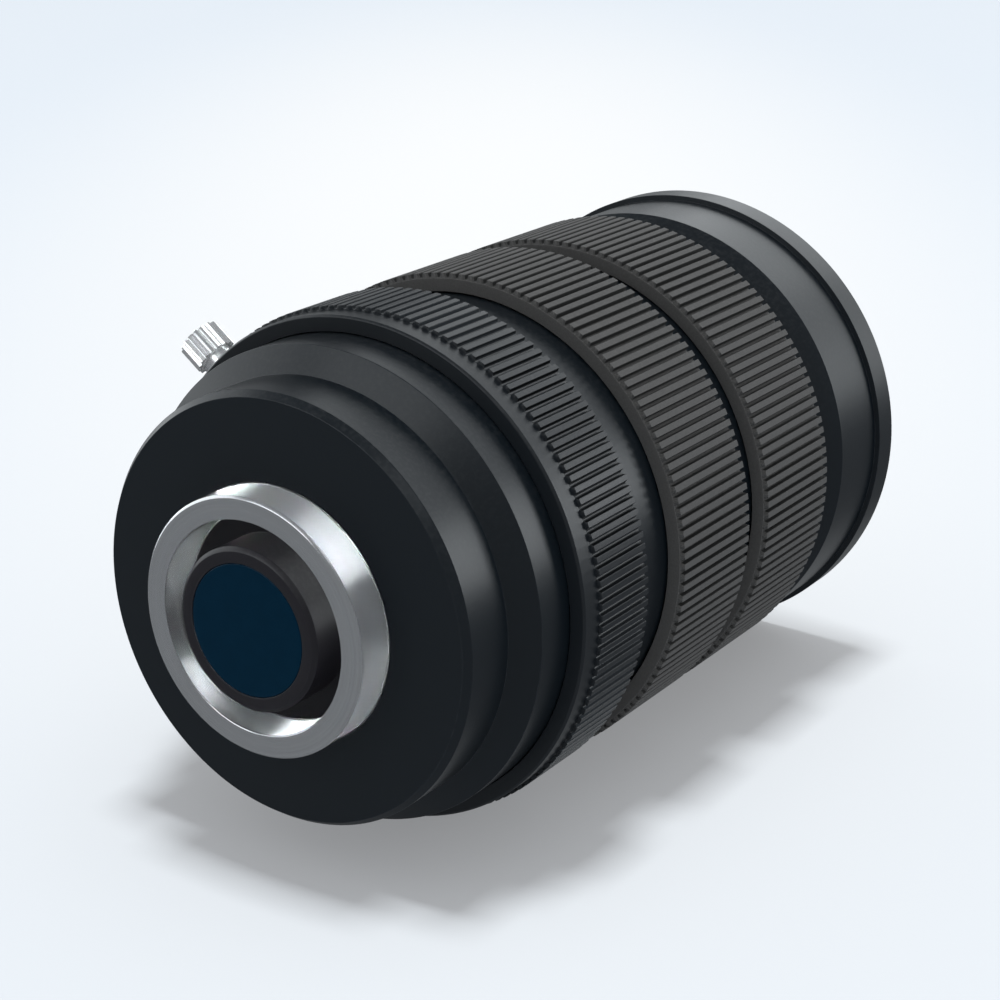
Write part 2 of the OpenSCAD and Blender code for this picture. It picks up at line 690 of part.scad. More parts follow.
// A screwed keeper ring with two spanner notches in its front face
module keeper(z, t, bore, outer) {
  difference() {
    tube(z, z + t, bore, outer);
    for (a = [0, 180]) rotate([0, 0, a])
      translate([bore - 1, -0.4, z + t / 2]) cube([outer - bore + 2, 0.8, t]);
  }
}

module zoom_keeper(end_z, glass_r) {
  keeper(end_z - zoom_keeper_t, zoom_keeper_t - seat_gap, glass_r - cell_lip_w, glass_r - glass_gap);
}

module housing_screws() {
  color("dimgray") lens_axis()
    radial_rods(3, 0, housing_screw_z, housing_screw_r, spigot_bore_r + 0.2, barrel_r - 0.2);
}

module main_barrel() {
  color([0.1, 0.11, 0.13]) lens_axis() difference() {
    turned([[chamber_r, split_z], [barrel_r, split_z], [barrel_r, barrel_step_z],
      [nose_r, barrel_step_z], [nose_r, nose_end_z], [barrel_bore_r, nose_end_z],
      [barrel_bore_r, guide_seat_z], [chamber_r, guide_seat_z]]);
    radial_rods(3, 0, housing_screw_z, housing_screw_r, chamber_r - 1, barrel_r + 1);
    radial_rods(3, 60, guide_screw_z, guide_screw_r, chamber_r - 1, barrel_r + 1);
    arc_slot(iris_drive_z, chamber_r - 1, barrel_r + 1, iris_screw_r + pin_gap,
      iris_drive_angle, iris_drive_angle + iris_turn);
    for (a = [0, 180]) arc_slot(zoom_drive_z, barrel_bore_r - 1, barrel_r + 1,
      zoom_screw_r + pin_gap, zoom_screw_angle + a, zoom_screw_angle + a + zoom_turn);
    for (a = [0, 180]) arc_slot(focus_screw_z, focus_groove_r, barrel_r + 1,
      focus_screw_r + pin_gap, focus_screw_angle + a, focus_screw_angle + a + focus_turn);
    for (i = [0:2]) straight_slot(focus_pin_angle + i * 120, focus_pin_z,
      focus_pin_z + focus_travel, barrel_bore_r - 1, nose_r + 1, focus_pin_r + pin_gap);
  }
}

module iris_cup() {
  color([0.15, 0.15, 0.16]) lens_axis() difference() {
    turned([[iris_stop_r, iris_cup_z], [spigot_r, iris_cup_z], [spigot_r, iris_cover_z],
      [iris_cup_bore_r, iris_cover_z], [iris_cup_bore_r, iris_cup_z + iris_plate_t],
      [iris_stop_r, iris_cup_z + iris_plate_t]]);
    for (i = [0:blade_count - 1]) rotate([0, 0, i * blade_step]) translate([blade_pivot_r, 0, 0])
      rod(blade_pin_r + run_gap, iris_cup_z - 1, iris_cup_z + iris_plate_t + 1);
    rotate([0, 0, iris_drive_angle - 4]) rotate_extrude(angle = iris_turn + 8)
      translate([iris_cup_bore_r - 0.5, iris_drive_z - iris_screw_r - pin_gap]) square([3, 4]);
  }
}

module iris_cover_ring() {
  color([0.15, 0.15, 0.16]) lens_axis()
    tube(iris_cover_z, iris_cover_z + iris_cover_t, rotor_bore_r, spigot_r);
}

module guide_tube() {
  half = cam_pin_r + run_gap;
  color([0.16, 0.16, 0.17]) lens_axis() difference() {
    turned([[guide_stop_r, guide_z], [spigot_r, guide_z], [spigot_r, guide_seat_z],
      [guide_out_r, guide_seat_z], [guide_out_r, guide_end_z], [guide_bore_r, guide_end_z],
      [guide_bore_r, guide_z + guide_stop_t], [guide_stop_r, guide_z + guide_stop_t]]);
    for (i = [0:2]) straight_slot(follower_angle + i * 120, compensator_z, variator_z,
      guide_bore_r - 1, guide_out_r + 1, half);
    radial_rods(3, 60, guide_screw_z, guide_screw_r, spigot_r - 3.4, spigot_r + 1);
  }
}

module guide_tube_screws() {
  color("dimgray") lens_axis()
    radial_rods(3, 60, guide_screw_z, guide_screw_r, spigot_r - 3.2, barrel_r - 0.2);
}

module cam_keeper_ring() {
  color([0.16, 0.16, 0.17]) lens_axis()
    keeper(keeper_z, cam_keeper_len, guide_out_r + glass_gap, cam_out_r - 0.1);
}

module iris_ring() {
  root = grip_r - iris_rib_depth;
  edge = 0.2;
  rib_z = iris_z + iris_border_len;
  color([0.12, 0.13, 0.15]) lens_axis() difference() {
    union() {
      turned([[ring_bore_r, iris_z], [root - edge, iris_z], [root, iris_z + edge],
        [root, rib_z], [ring_bore_r, rib_z]]);
      translate([0, 0, rib_z]) linear_extrude(iris_ring_len - iris_border_len) difference() {
        polygon(rib_outline(root, grip_r, iris_foot_share));
        circle(r = ring_bore_r);
      }
    }
    radial(lock_angle, lock_z) rod(lock_shank_r + run_gap, barrel_r - 1, grip_r + 1);
    radial(iris_drive_angle, iris_drive_z) rod(iris_screw_r, barrel_r - 1, grip_r + 1);
  }
}

module iris_rotor() {
  path = [for (i = [0:9]) blade_pin(i / 9)];
  color([0.55, 0.5, 0.35]) lens_axis() difference() {
    translate([0, 0, rotor_z]) linear_extrude(rotor_t) difference() {
      circle(r = rotor_r);
      circle(r = rotor_bore_r);
      for (i = [0:blade_count - 1]) rotate(i * blade_step)
        polygon(strip_outline(path, blade_pin_r + pin_gap));
    }
    radial(iris_drive_angle, iris_drive_z) rod(iris_screw_r, rotor_r - rotor_hole_depth, rotor_r + 1);
  }
}

module iris_drive_screw() {
  head_r = grip_r - iris_rib_depth - 0.3;
  color("dimgray") lens_axis() difference() {
    radial(iris_drive_angle, iris_drive_z) rod(iris_screw_r, rotor_r - rotor_hole_depth + 0.1, head_r);
    radial(iris_drive_angle, iris_drive_z) translate([0, 0, head_r - 0.8])
      cylinder(h = 1, r = iris_screw_r * 0.55, $fn = 6);
  }
}

// One blade, numbered from 0, with its pivot pin behind it and its drive pin in front
module iris_blade(i) {
  z = blades_z + i * blade_pitch;
  root = [(blade_out_r - 1) * cos(4), (blade_out_r - 1) * sin(4)];
  pivot = [blade_pivot_r, 0];
  color([0.2, 0.2, 0.22]) lens_axis() rotate([0, 0, i * blade_step]) {
    translate([0, 0, z]) linear_extrude(blade_t) union() {
      polygon(concat(arc_points(blade_in_r, -4, blade_arc), arc_points(blade_out_r, blade_arc, -4)));
      polygon(strip_outline([root, pivot], blade_tab_w));
      polygon(strip_outline([pivot, blade_pin(0)], blade_tab_w));
    }
    translate([blade_pivot_r, 0, 0]) rod(blade_pin_r, iris_cup_z + 0.2, z + blade_t);
    translate([blade_pin(0)[0], blade_pin(0)[1], 0]) rod(blade_pin_r, z, rotor_z + rotor_t - 0.4);
  }
}

module lock_pad() {
  color("white") lens_axis() radial(lock_angle, lock_z)
    rod(lock_shank_r, lock_pad_r0, lock_pad_r1);
}

module lock_screw() {
  flute = [for (i = [0:lock_flutes * 6 - 1])
    let (a = i * 60 / lock_flutes, dip = pow(sin(a * lock_flutes / 2), 4))
    (lock_head_r - lock_flute_depth * dip) * [cos(a), sin(a)]];
  color("silver") lens_axis() radial(lock_angle, lock_z) {
    rod(lock_shank_r, lock_pad_r1 + glass_gap, lock_collar_r0 + 0.1);
    rod(lock_collar_r, lock_collar_r0, lock_head_r0 + 0.1);
    intersection() {
      translate([0, 0, lock_head_r0]) linear_extrude(lock_head_len) polygon(flute);
      turned([[0, lock_head_r0], [lock_head_r - lock_head_chamfer, lock_head_r0],
        [lock_head_r + 0.01, lock_head_r0 + lock_head_chamfer],
        [lock_head_r + 0.01, lock_head_r1 - lock_head_chamfer],
        [lock_head_r - lock_head_chamfer, lock_head_r1], [0, lock_head_r1]]);
    }
  }
}

// A rubber grip: ribs outside, plain bore, and a lip that covers the metal ring's rear end
module grip(z, len) {
  color([0.22, 0.21, 0.2]) lens_axis() difference() {
    translate([0, 0, z]) linear_extrude(len)
      polygon(rib_outline(grip_r - grip_rib_depth, grip_r, grip_foot_share));
    translate([0, 0, z + grip_lip_t]) cylinder(h = len, r = ring_out_r + glass_gap);
    translate([0, 0, z - 1]) cylinder(h = len, r = ring_bore_r + run_gap);
  }
}

// Screw with a flat head sunk under the grip
module sunk_screw(r, from) {
  head_r = r + 0.6;
  head_t = 0.55;
  top = ring_out_r - 0.1;
  rod(r, from, top - head_t + 0.05);
  rod(head_r, top - head_t, top);
}

// Hole for that screw in a metal ring
module sunk_hole(r) {
  rod(r, barrel_r - 1, ring_out_r + 1);
  rod(r + 0.65, ring_out_r - 0.65, ring_out_r + 1);
}

module zoom_ring() {
  color([0.12, 0.13, 0.15]) lens_axis() difference() {
    tube(zoom_z + grip_lip_t, zoom_z + zoom_len, ring_bore_r, ring_out_r);
    for (a = [0, 180]) radial(zoom_screw_angle + a, zoom_drive_z) sunk_hole(zoom_screw_r);
  }
}

module zoom_grip() {
  grip(zoom_z, zoom_len);
}

module zoom_drive_screws() {
  color("dimgray") lens_axis() for (a = [0, 180])
    radial(zoom_screw_angle + a, zoom_drive_z) sunk_screw(zoom_screw_r, cam_bore_r + 0.2);
}

module cam_tube() {
  half = cam_pin_r + pin_gap;
  color([0.62, 0.62, 0.6]) lens_axis() difference() {
    tube(cam_z, cam_end_z, cam_bore_r, cam_out_r);
    for (i = [0:2]) {
      helix_slot(follower_angle + i * 120, zoom_turn,
        variator_z, variator_tele_z, cam_bore_r - 0.5, cam_out_r + 0.5, half);
      helix_slot(follower_angle + i * 120, zoom_turn,
        compensator_z, compensator_tele_z, cam_bore_r - 0.5, cam_out_r + 0.5, half);
    }
    radial_rods(2, zoom_screw_angle, zoom_drive_z, zoom_screw_r, cam_bore_r - 1, cam_out_r + 1);
  }
}

// A sliding cell with a glass seat, a rear lip and three holes for its cam pins
module zoom_cell(z, len, glass_r) {
  difference() {
    turned([[glass_r - cell_lip_w, z - len / 2], [cell_r, z - len / 2], [cell_r, z + len / 2],
      [glass_r, z + len / 2], [glass_r, z - len / 2 + cell_lip_t],
      [glass_r - cell_lip_w, z - len / 2 + cell_lip_t]]);
    radial_rods(3, follower_angle, z, cam_pin_shank_r, cam_pin_root_r, cell_r + 1);
  }
}

module cam_pins(z) {
  radial_rods(3, follower_angle, z, cam_pin_shank_r, cam_pin_root_r + 0.1, cell_r + 0.1);
  radial_rods(3, follower_angle, z, cam_pin_r, cell_r + 0.03, cam_pin_end_r);
}

module variator_cell() {
  color([0.14, 0.14, 0.15]) lens_axis()
    zoom_cell(variator_z, variator_len, variator_glass_r);
}

module variator_rear_lens() {
  z = variator_rear_z + seat_gap;
  color([0.5, 0.6, 0.7, 0.5]) lens_axis()
    lens(variator_glass_r - glass_gap, z, z + variator_thin_t, 0, -variator_rear_curve);
}

module variator_front_lens() {
  z = variator_front_lens_z;
  color([0.5, 0.6, 0.7, 0.5]) lens_axis()
    lens(variator_glass_r - glass_gap, z, z + variator_front_t, 0, -variator_front_curve);
}

module variator_retaining_ring() {
  color([0.12, 0.12, 0.13]) lens_axis()
    zoom_keeper(variator_z + variator_len / 2, variator_glass_r);
}

module variator_pins() {
  color([0.8, 0.65, 0.3]) lens_axis() cam_pins(variator_z);
}

module compensator_cell() {
  color([0.14, 0.14, 0.15]) lens_axis()
    zoom_cell(compensator_z, compensator_len, compensator_glass_r);
}

module compensator_lens() {
  z = compensator_rear_z + seat_gap;
  r = compensator_glass_r - glass_gap;
  color([0.5, 0.6, 0.7, 0.5]) lens_axis()
    lens(r, z, z + compensator_edge_t + sag(r, compensator_curve), 0, compensator_curve);
}

module compensator_retaining_ring() {
  color([0.12, 0.12, 0.13]) lens_axis()
    zoom_keeper(compensator_z + compensator_len / 2, compensator_glass_r);
}

module compensator_pins() {
  color([0.8, 0.65, 0.3]) lens_axis() cam_pins(compensator_z);
}

module focus_ring() {
  color([0.12, 0.13, 0.15]) lens_axis() difference() {
    tube(focus_z + grip_lip_t, focus_z + focus_len, ring_bore_r, ring_out_r);
    for (i = [0:2]) helix_slot(focus_pin_angle + i * 120, focus_turn,
      focus_pin_z, focus_pin_z + focus_travel, ring_bore_r - 0.5, ring_out_r + 0.5,
      focus_pin_r + pin_gap);
    for (a = [0, 180]) radial(focus_screw_angle + a, focus_screw_z) sunk_hole(focus_screw_r);
  }
}

module focus_grip() {
  grip(focus_z, focus_len);
}

module focus_stop_screws() {
  color("dimgray") lens_axis() for (a = [0, 180])
    radial(focus_screw_angle + a, focus_screw_z) sunk_screw(focus_screw_r, focus_screw_tip_r);
}

module front_barrel() {
  edge = 0.2;
  color([0.1, 0.11, 0.13]) lens_axis() difference() {
    turned([[skirt_bore_r, skirt_z], [barrel_r, skirt_z], [barrel_r, bell_flare_z],
      [bell_r, bell_z], [bell_r, rim_z], [rim_r, rim_z], [rim_r, front_z - edge],
      [rim_r - edge, front_z], [filter_r + edge, front_z], [filter_r, front_z - edge],
      [filter_r, trim_z + trim_t], [trim_r + seat_gap, trim_z + trim_t],
      [trim_r + seat_gap, trim_z], [front_bore_r, trim_z], [front_bore_r, cell_seat_z],
      [skirt_bore_r, cell_seat_z]]);
    radial_rods(3, focus_pin_angle, focus_pin_z, focus_pin_r, skirt_bore_r - 1, barrel_r + 1);
  }
}

module focus_pins() {
  color([0.8, 0.65, 0.3]) lens_axis()
    radial_rods(3, focus_pin_angle, focus_pin_z, focus_pin_r, barrel_bore_r + 0.2, ring_out_r - 0.15);
}

module front_cell() {
  color([0.12, 0.12, 0.13]) lens_axis() turned([[pair_glass_r - pair_lip_w, cell_seat_z],
    [front_cell_r, cell_seat_z], [front_cell_r, front_cell_end_z],
    [front_glass_r, front_cell_end_z], [front_glass_r, spacer_z], [pair_glass_r, spacer_z],
    [pair_glass_r, pair_z], [pair_glass_r - pair_lip_w, pair_z]]);
}

module front_rear_lens() {
  color([0.5, 0.6, 0.7, 0.5]) lens_axis()
    lens(pair_r, pair_rear_z, pair_cement_z, 0, -pair_curve);
}

module front_middle_lens() {
  front = spacer_z - glass_gap;
  color([0.5, 0.6, 0.7, 0.5]) lens_axis()
    lens(pair_r, pair_cement_z + glass_gap, front, pair_curve, 0);
}

module front_spacer() {
  color([0.12, 0.12, 0.13]) lens_axis()
    tube(spacer_z, outer_glass_z, pair_glass_r - spacer_lip_w, front_glass_r - glass_gap);
}

module front_outer_lens() {
  color([0.25, 0.4, 0.45, 0.5]) lens_axis()
    lens(front_glass_r - glass_gap, outer_glass_z + glass_gap, outer_vertex_z, 0, front_face_curve);
}

module front_retaining_ring() {
  color([0.12, 0.12, 0.13]) lens_axis()
    keeper(front_keeper_z, front_keeper_t, front_keeper_r, front_glass_r - glass_gap);
}

module front_trim_ring() {
  color([0.09, 0.09, 0.1]) lens_axis() turned([[front_glass_r - 0.5, trim_z],
    [trim_r, trim_z], [trim_r, trim_z + trim_t], [front_glass_r - 0.2, trim_z + 0.35]]);
}

c_mount_ring();
mount_screws();
rear_housing();
relay_cell();
relay_set_screws();
rear_element();
relay_crown();
relay_flint();
relay_spacer();
relay_front_element();
relay_retaining_ring();
housing_screws();
main_barrel();
iris_cup();
iris_cover_ring();
guide_tube();
guide_tube_screws();
cam_keeper_ring();
iris_ring();
iris_rotor();
iris_drive_screw();
iris_blade(0);  // iris_blade_1
iris_blade(1);  // iris_blade_2
iris_blade(2);  // iris_blade_3
iris_blade(3);  // iris_blade_4
iris_blade(4);  // iris_blade_5
iris_blade(5);  // iris_blade_6
lock_pad();
lock_screw();
zoom_ring();
zoom_grip();
zoom_drive_screws();
cam_tube();
variator_cell();
variator_rear_lens();
variator_front_lens();
variator_retaining_ring();
variator_pins();
compensator_cell();
compensator_lens();
compensator_retaining_ring();
compensator_pins();
focus_ring();
focus_grip();
focus_stop_screws();
front_barrel();
focus_pins();
front_cell();
front_rear_lens();
front_middle_lens();
front_spacer();
front_outer_lens();
front_retaining_ring();
front_trim_ring();
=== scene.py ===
import math
import bmesh
import bpy
from mathutils import Matrix, Vector


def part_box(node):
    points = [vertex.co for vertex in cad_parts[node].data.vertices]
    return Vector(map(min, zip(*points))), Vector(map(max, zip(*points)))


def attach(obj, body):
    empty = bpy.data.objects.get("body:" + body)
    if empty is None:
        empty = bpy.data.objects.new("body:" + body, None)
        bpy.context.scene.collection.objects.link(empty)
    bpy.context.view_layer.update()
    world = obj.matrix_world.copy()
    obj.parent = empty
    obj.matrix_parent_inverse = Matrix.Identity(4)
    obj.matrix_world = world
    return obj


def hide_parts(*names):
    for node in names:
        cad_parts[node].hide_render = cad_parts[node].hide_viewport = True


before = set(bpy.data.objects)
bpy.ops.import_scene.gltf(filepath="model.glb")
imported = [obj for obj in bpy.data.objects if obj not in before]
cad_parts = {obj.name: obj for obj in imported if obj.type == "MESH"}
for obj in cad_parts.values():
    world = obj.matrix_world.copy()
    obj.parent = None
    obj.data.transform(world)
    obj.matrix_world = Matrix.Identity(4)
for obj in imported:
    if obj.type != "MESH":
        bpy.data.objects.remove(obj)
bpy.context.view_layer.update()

# Camera-thread ring. Turned from aluminium and left bright, with a thin chamfer at each rim.
# It screws into the camera, and its hidden flange is held inside the rear housing by four
# small screws.
MM = 0.001
AXIS = (0, 1, 0)
CENTRE = (0, 0, 0)
THREAD = 12.7


def pick(kind, wanted):
    """In edit mode, selects only the vertices, edges or faces whose middle is wanted"""
    bpy.ops.mesh.select_mode(type={"verts": "VERT", "edges": "EDGE", "faces": "FACE"}[kind])
    bpy.ops.mesh.select_all(action="DESELECT")
    shape = bmesh.from_edit_mesh(bpy.context.object.data)
    for part in getattr(shape, kind):
        corners = [part] if kind == "verts" else part.verts
        middle = sum((corner.co for corner in corners), Vector()) / len(corners)
        part.select_set(wanted(middle))
    shape.select_flush_mode()
    bmesh.update_edit_mesh(bpy.context.object.data)


def start(name):
    """Names the primitive just added and opens it for editing with all of it selected"""
    piece = bpy.context.object
    piece.name = piece.data.name = name
    bpy.ops.object.mode_set(mode="EDIT")
    bpy.ops.mesh.select_mode(type="VERT")
    bpy.ops.mesh.select_all(action="SELECT")
    return piece


def half_section(name, points, rounding, corners):
    """Draws the outline that a lathe follows, from (radius, place) points in millimetres, and
    rounds the wanted corners; an outline that stays off the axis is closed"""
    bpy.ops.object.select_all(action="DESELECT")
    bpy.ops.mesh.primitive_plane_add(size=MM)
    piece = start(name)
    bpy.ops.mesh.merge(type="CENTER")
    bpy.ops.transform.translate(value=(points[0][0] * MM, points[0][1] * MM, 0))
    for (r0, y0), (r1, y1) in zip(points, points[1:]):
        bpy.ops.mesh.extrude_region_move(
            TRANSFORM_OT_translate={"value": ((r1 - r0) * MM, (y1 - y0) * MM, 0)})
    if points[0][0] > 0:
        ends = [Vector((r * MM, y * MM, 0)) for r, y in (points[0], points[-1])]
        pick("verts", lambda at: min((at - end).length for end in ends) < 0.001 * MM)
        bpy.ops.mesh.edge_face_add()
    pick("verts", corners)
    bpy.ops.mesh.bevel(offset=rounding * MM, segments=2, affect="VERTICES")
    bpy.ops.mesh.select_all(action="SELECT")
    return piece


def close_up(piece):
    """Joins seams and poles, turns the faces outwards and smooths all but the flats"""
    bpy.ops.mesh.select_all(action="SELECT")
    bpy.ops.mesh.remove_doubles(threshold=0.001 * MM)
    bpy.ops.mesh.normals_make_consistent(inside=False)
    bpy.ops.object.mode_set(mode="OBJECT")
    bpy.ops.object.shade_smooth()
    bpy.ops.object.modifier_add(type="WEIGHTED_NORMAL")
    bpy.ops.object.modifier_apply(modifier=piece.modifiers[0].name)
    return piece


def turn(name, points, rounding=0.06, steps=192, corners=lambda at: at.x > 0.01 * MM):
    """A piece cut on a lathe: its half section spun round the optical axis. All of its corners
    are rounded but those on the axis, unless corners says which"""
    piece = half_section(name, points, rounding, corners)
    bpy.ops.mesh.spin(steps=steps, angle=2 * math.pi, center=CENTRE, axis=AXIS)
    return close_up(piece)


camera_ring = turn("camera_thread_ring", [
    (10.4, -4.0), (10.5, -4.1), (12.45, -4.1), (THREAD, -3.85), (THREAD, 0.1), (12.4, 0.3),
    (12.4, 0.7), (THREAD, 0.9), (THREAD, 2.4), (15.5, 2.4), (15.5, 4.4), (12.4, 4.4), (12.4, 9.4),
    (10.4, 9.4)], rounding=0.03)


def node(tree, kind, inputs, **settings):
    """Adds a node and gives each input a value or the output of another node"""
    made = tree.nodes.new("ShaderNode" + kind)
    for name, value in settings.items():
        setattr(made, name, value)
    for name, value in inputs.items():
        if isinstance(value, bpy.types.NodeSocket):
            tree.links.new(value, made.inputs[name])
        else:
            made.inputs[name].default_value = value
    return made


def sums(tree, operation, first, second=0.0, **settings):
    """One step of arithmetic"""
    return node(tree, "Math", {0: first, 1: second}, operation=operation, **settings).outputs[0]


def ramp(tree, value, low, high, first=0.0, last=1.0, **settings):
    """Maps low to high onto first to last, and holds these outside"""
    ends = {0: value, 1: low, 2: high, 3: first, 4: last}
    return node(tree, "MapRange", ends, **settings).outputs[0]


def noise(tree, place, scale, detail):
    """Soft random patches, scale of them in a metre"""
    return node(tree, "TexNoise", {"Vector": place, "Scale": scale, "Detail": detail}).outputs[0]


def spot(tree):
    """The shaded point, in metres"""
    return node(tree, "TexCoord", {}).outputs["Object"]


def off_axis(tree, place):
    """Distance from the optical axis, in metres"""
    across = node(tree, "VectorMath", {0: place, 1: (1, 0, 1)}, operation="MULTIPLY").outputs[0]
    return node(tree, "VectorMath", {0: across}, operation="LENGTH").outputs["Value"]


def along_axis(tree, place):
    """Distance along the optical axis, in metres"""
    return node(tree, "SeparateXYZ", {0: place}).outputs["Y"]


def effect(name, inputs, output):
    """Starts a node group: named numbers in, one mask out"""
    tree = bpy.data.node_groups.new(name, "ShaderNodeTree")
    for label, value in inputs.items():
        socket = tree.interface.new_socket(name=label, in_out="INPUT", socket_type="NodeSocketFloat")
        socket.default_value = value
    tree.interface.new_socket(name=output, in_out="OUTPUT", socket_type="NodeSocketFloat")
    given = tree.nodes.new("NodeGroupInput").outputs
    put = tree.nodes.new("NodeGroupOutput").inputs
    return tree, given, lambda value: tree.links.new(value, put[output])


def apply_effect(tree, name, **inputs):
    """Uses a node group in a material and returns its mask"""
    made = tree.nodes.new("ShaderNodeGroup")
    made.node_tree = bpy.data.node_groups[name]
    for label, value in inputs.items():
        made.inputs[label].default_value = value
    return made.outputs[0]


# Rings left by the tool, across a face and along a wall alike, Spacing millimetres apart
tree, given, put = effect("lathe_marks", {"Spacing": 0.1}, "Marks")
place = spot(tree)
path = sums(tree, "ADD", off_axis(tree, place), along_axis(tree, place))
turns = sums(tree, "DIVIDE", sums(tree, "MULTIPLY", path, 1 / MM), given["Spacing"])
marks = {"W": turns, "Scale": 1.0, "Detail": 3.0}
put(node(tree, "TexNoise", marks, noise_dimensions="1D").outputs[0])

# Speckle of a blasted, anodised or moulded skin, Size millimetres across
tree, given, put = effect("fine_grain", {"Size": 0.1}, "Grain")
put(noise(tree, spot(tree), sums(tree, "DIVIDE", 1 / MM, given["Size"]), 2.0))

# Edges rubbed by handling, Width millimetres wide: strongest on the corner, broken up along it
tree, given, put = effect("edge_wear", {"Width": 0.15, "Amount": 0.5}, "Worn")
wide = sums(tree, "MULTIPLY", given["Width"], MM)
soft = node(tree, "Bevel", {"Radius": wide}, samples=4).outputs["Normal"]
hard = node(tree, "NewGeometry", {}).outputs["Normal"]
flat = node(tree, "VectorMath", {0: soft, 1: hard}, operation="DOT_PRODUCT").outputs["Value"]
bent = sums(tree, "MULTIPLY", sums(tree, "SUBTRACT", 1.0, flat), 9.0)
broken = ramp(tree, noise(tree, spot(tree), 900.0, 4.0), 0.35, 0.65)
worn = sums(tree, "MULTIPLY", bent, broken, use_clamp=True)
put(sums(tree, "MULTIPLY", worn, given["Amount"]))

# Dust settled on what faces up
tree, given, put = effect("settled_dust", {"Amount": 0.1}, "Dust")
up = node(tree, "SeparateXYZ", {0: node(tree, "NewGeometry", {}).outputs["Normal"]}).outputs["Z"]
specks = ramp(tree, noise(tree, spot(tree), 2600.0, 5.0), 0.45, 0.75)
lying = sums(tree, "MULTIPLY", ramp(tree, up, 0.1, 0.95), specks)
put(sums(tree, "MULTIPLY", lying, given["Amount"]))


def tint(tree, amount, under, over):
    """Mixes two colours by a mask"""
    return node(tree, "Mix", {0: amount, 6: under, 7: over}, data_type="RGBA").outputs[2]


def rgba(colour, bright=1.0):
    """A colour as sockets take it, made brighter or darker"""
    return tuple(min(1, c * bright) for c in colour) + (1,)


def blank_material(name):
    """A material without nodes, and its node tree"""
    material = bpy.data.materials.new(name)
    material.use_nodes = True
    material.node_tree.nodes.clear()
    return material, material.node_tree


def shade(tree, inputs):
    """Ends a material with its shader"""
    shader = node(tree, "BsdfPrincipled", inputs)
    tree.links.new(shader.outputs[0], node(tree, "OutputMaterial", {}).inputs[0])


def skin(name, colour, gloss, metal=0.0, tone=0.28, marks=0.12, cut=0.25, grain=0.12, relief=0.3,
         worn=(0.5, 0.5, 0.5), wear=0.2, dust=0.04, ribs=None, plain=None):
    """A machined or moulded surface: marks and grain in its colour, gloss and relief, worn edges
    and dust. gloss is its roughness, tone how uneven it is, and cut the share of tool marks in
    that. ribs says where the sides of ribs get painted shade, and plain sets other shader inputs"""
    material, tree = blank_material(name)
    rings = apply_effect(tree, "lathe_marks", Spacing=marks)
    speckle = apply_effect(tree, "fine_grain", Size=grain)
    rubbed = apply_effect(tree, "edge_wear", Width=0.14, Amount=wear)
    settled = apply_effect(tree, "settled_dust", Amount=dust)
    texture = sums(tree, "ADD", sums(tree, "MULTIPLY", rings, cut),
                   sums(tree, "MULTIPLY", speckle, 1 - cut))
    base = tint(tree, texture, rgba(colour, 1 - tone), rgba(colour, 1 + tone))
    base = tint(tree, rubbed, base, rgba(worn))
    base = tint(tree, settled, base, (0.42, 0.41, 0.39, 1))
    # Painted shade: the sides of ribs are darkened and made metallic, so they take no matt light, as
    # if in the shadow of the grooves
    if ribs:
        metal = apply_effect(tree, "painted_rib_side_shade", **ribs)
        base = tint(tree, metal, base, rgba(colour, 0.5))
    rough = ramp(tree, texture, 0.3, 0.7, gloss - 0.2 * tone, gloss + 0.25 * tone)
    rough = sums(tree, "ADD", rough, settled, use_clamp=True)
    bump = node(tree, "Bump", {"Strength": relief, "Distance": 0.01 * MM, "Height": texture})
    shade(tree, {"Base Color": base, "Metallic": metal, "Roughness": rough,
                 "Normal": bump.outputs[0], **(plain or {})})
    return material


def fit(piece, body, slot, material, *solids):
    """Gives a new piece its material and its body, and hides the solids it stands for; slot is not
    used
    """
    piece.data.materials.append(material)
    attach(piece, body)
    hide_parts(*solids)


fit(camera_ring, "barrel", "bright_ring",
    skin("bright_aluminium", (0.78, 0.79, 0.81), 0.22, metal=0.92, tone=0.07, marks=0.3, cut=0.95,
         grain=0.2, relief=0.02, worn=(0.9, 0.9, 0.9), wear=0.5, dust=0.02), "c_mount_ring")
# As in the photo, the black seat behind the ring does not mirror it
camera_ring.visible_glossy = False


def dress(material, *solids):
    """Gives the frame's own solids a material"""
    for name in solids:
        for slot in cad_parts[name].material_slots:
            slot.material = material


steel = skin("screw_steel", (0.32, 0.32, 0.33), 0.34, metal=1.0, wear=0.3)
dress(steel, "mount_screws", "housing_screws", "guide_tube_screws", "relay_set_screws",
      "iris_drive_screw", "zoom_drive_screws", "focus_stop_screws")

# Rear housing. One aluminium turning, anodised black: the flat seat that meets the camera with a
# thin edge chamfer, a straight neck, a flare out to the barrel's width, and a spigot inside the
# main barrel where three screws hold it.
NECK = 21.3
BARREL = 23.82


def anodised(name, colour=(0.0048, 0.0085, 0.0125), gloss=0.33, wear=0.1, **more):
    """Black anodised aluminium: almost black, satin, its edges a little greyer"""
    return skin(name, colour, gloss, marks=0.1, cut=0.45, grain=0.06, relief=0.22,
                worn=(0.075, 0.08, 0.09), wear=wear, **more)


rear_housing = turn("rear_housing_turned", [
    (12.75, 0), (20.74, 0), (NECK, 0.75), (NECK, 6.3), (BARREL, 8.05), (BARREL, 13.05),
    (21.85, 13.05), (21.85, 15.25), (20.3, 15.25), (20.3, 8.05), (19.4, 6.3), (19.4, 2.4),
    (12.75, 2.4)], rounding=0.05)
fit(rear_housing, "barrel", "black_anodised",
    anodised("seat_and_neck_black", wear=0.45), "rear_housing")
